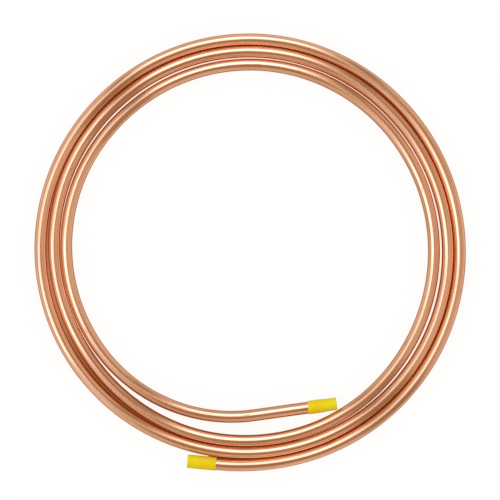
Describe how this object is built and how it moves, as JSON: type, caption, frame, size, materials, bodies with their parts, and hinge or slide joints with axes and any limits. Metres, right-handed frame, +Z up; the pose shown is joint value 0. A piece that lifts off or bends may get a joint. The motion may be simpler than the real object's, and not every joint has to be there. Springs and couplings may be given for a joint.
{
  "type": "copper tube coil",
  "caption": "Flat spiral coil of soft copper tube wound in one layer, with a straight tail in its eye and a soft plastic cap on each end.",
  "frame": {"origin": "centre of the coil's outline, on the floor that it lies on", "axes": "+Z up out of the coil's plane, -Y towards the side where both ends of the tube are"},
  "size_m": [0.3448, 0.3498, 0.0106],
  "materials": {
    "copper": "bright drawn copper, lightly handled",
    "cap_plastic": "translucent soft yellow plastic"
  },
  "bodies": {
    "root": {"copper_tube": "copper", "end_cap_outer": "cap_plastic", "end_cap_inner": "cap_plastic"}
  },
  "joints": []
}
